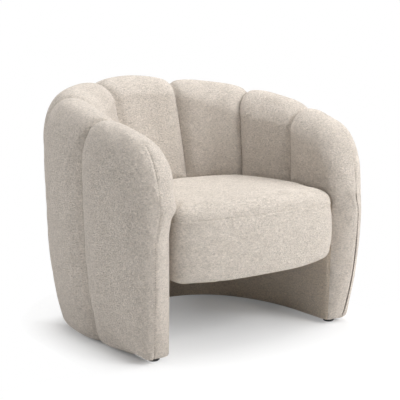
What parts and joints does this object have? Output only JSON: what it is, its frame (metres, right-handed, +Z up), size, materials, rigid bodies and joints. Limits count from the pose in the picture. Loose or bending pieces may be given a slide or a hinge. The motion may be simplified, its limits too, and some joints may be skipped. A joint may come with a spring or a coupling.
{
  "type": "tub chair",
  "caption": "Upholstered tub chair: a channelled barrel shell round the back and arms, a round-fronted seat drum hung between the arms, on low glides.",
  "frame": {"origin": "on the floor under the middle of the chair's box", "axes": "+Z up, -Y towards the front of the seat, +X to the right-hand arm as seen from the front; the chair mirrors across the YZ plane"},
  "size_m": [0.8696, 0.8084, 0.7188],
  "materials": {
    "cover_fabric": "short looped beige melange upholstery cloth",
    "lining_fabric": "the same cloth, laid plain over the lower inner wall",
    "seat_fabric": "the same cloth over the seat",
    "dust_cloth": "black nonwoven",
    "webbing": "woven elastic",
    "plywood": "birch plywood, unfinished",
    "timber": "softwood, unfinished",
    "hardboard": "bent hardboard",
    "zinc_steel": "zinc plated",
    "glide_plastic": "black, matt"
  },
  "bodies": {
    "root": {"channel_back": "cover_fabric", "channel_back_left": "cover_fabric", "channel_back_right": "cover_fabric", "channel_shoulder_left": "cover_fabric", "channel_shoulder_right": "cover_fabric", "channel_arm_left": "cover_fabric", "channel_arm_right": "cover_fabric", "arm_facing_left": "cover_fabric", "arm_facing_right": "cover_fabric", "lower_lining": "lining_fabric", "seat_cushion": "seat_fabric", "seat_border": "seat_fabric", "seat_upper_ring": "plywood", "seat_lower_ring": "plywood", "seat_posts": "timber", "seat_band": "hardboard", "seat_webbing_across": "webbing", "seat_webbing_along": "webbing", "seat_dust_cover": "dust_cloth", "base_plate": "plywood", "base_dust_cover": "dust_cloth", "formers_back": "plywood", "formers_shoulder": "plywood", "formers_arm": "plywood", "arm_front_boards": "plywood", "seat_level_rails": "timber", "top_rails": "timber", "seat_bolts": "zinc_steel", "bolt_washers": "zinc_steel", "t_nuts": "zinc_steel", "front_glides": "glide_plastic", "rear_glides": "glide_plastic", "glide_studs": "zinc_steel"}
  },
  "joints": []
}
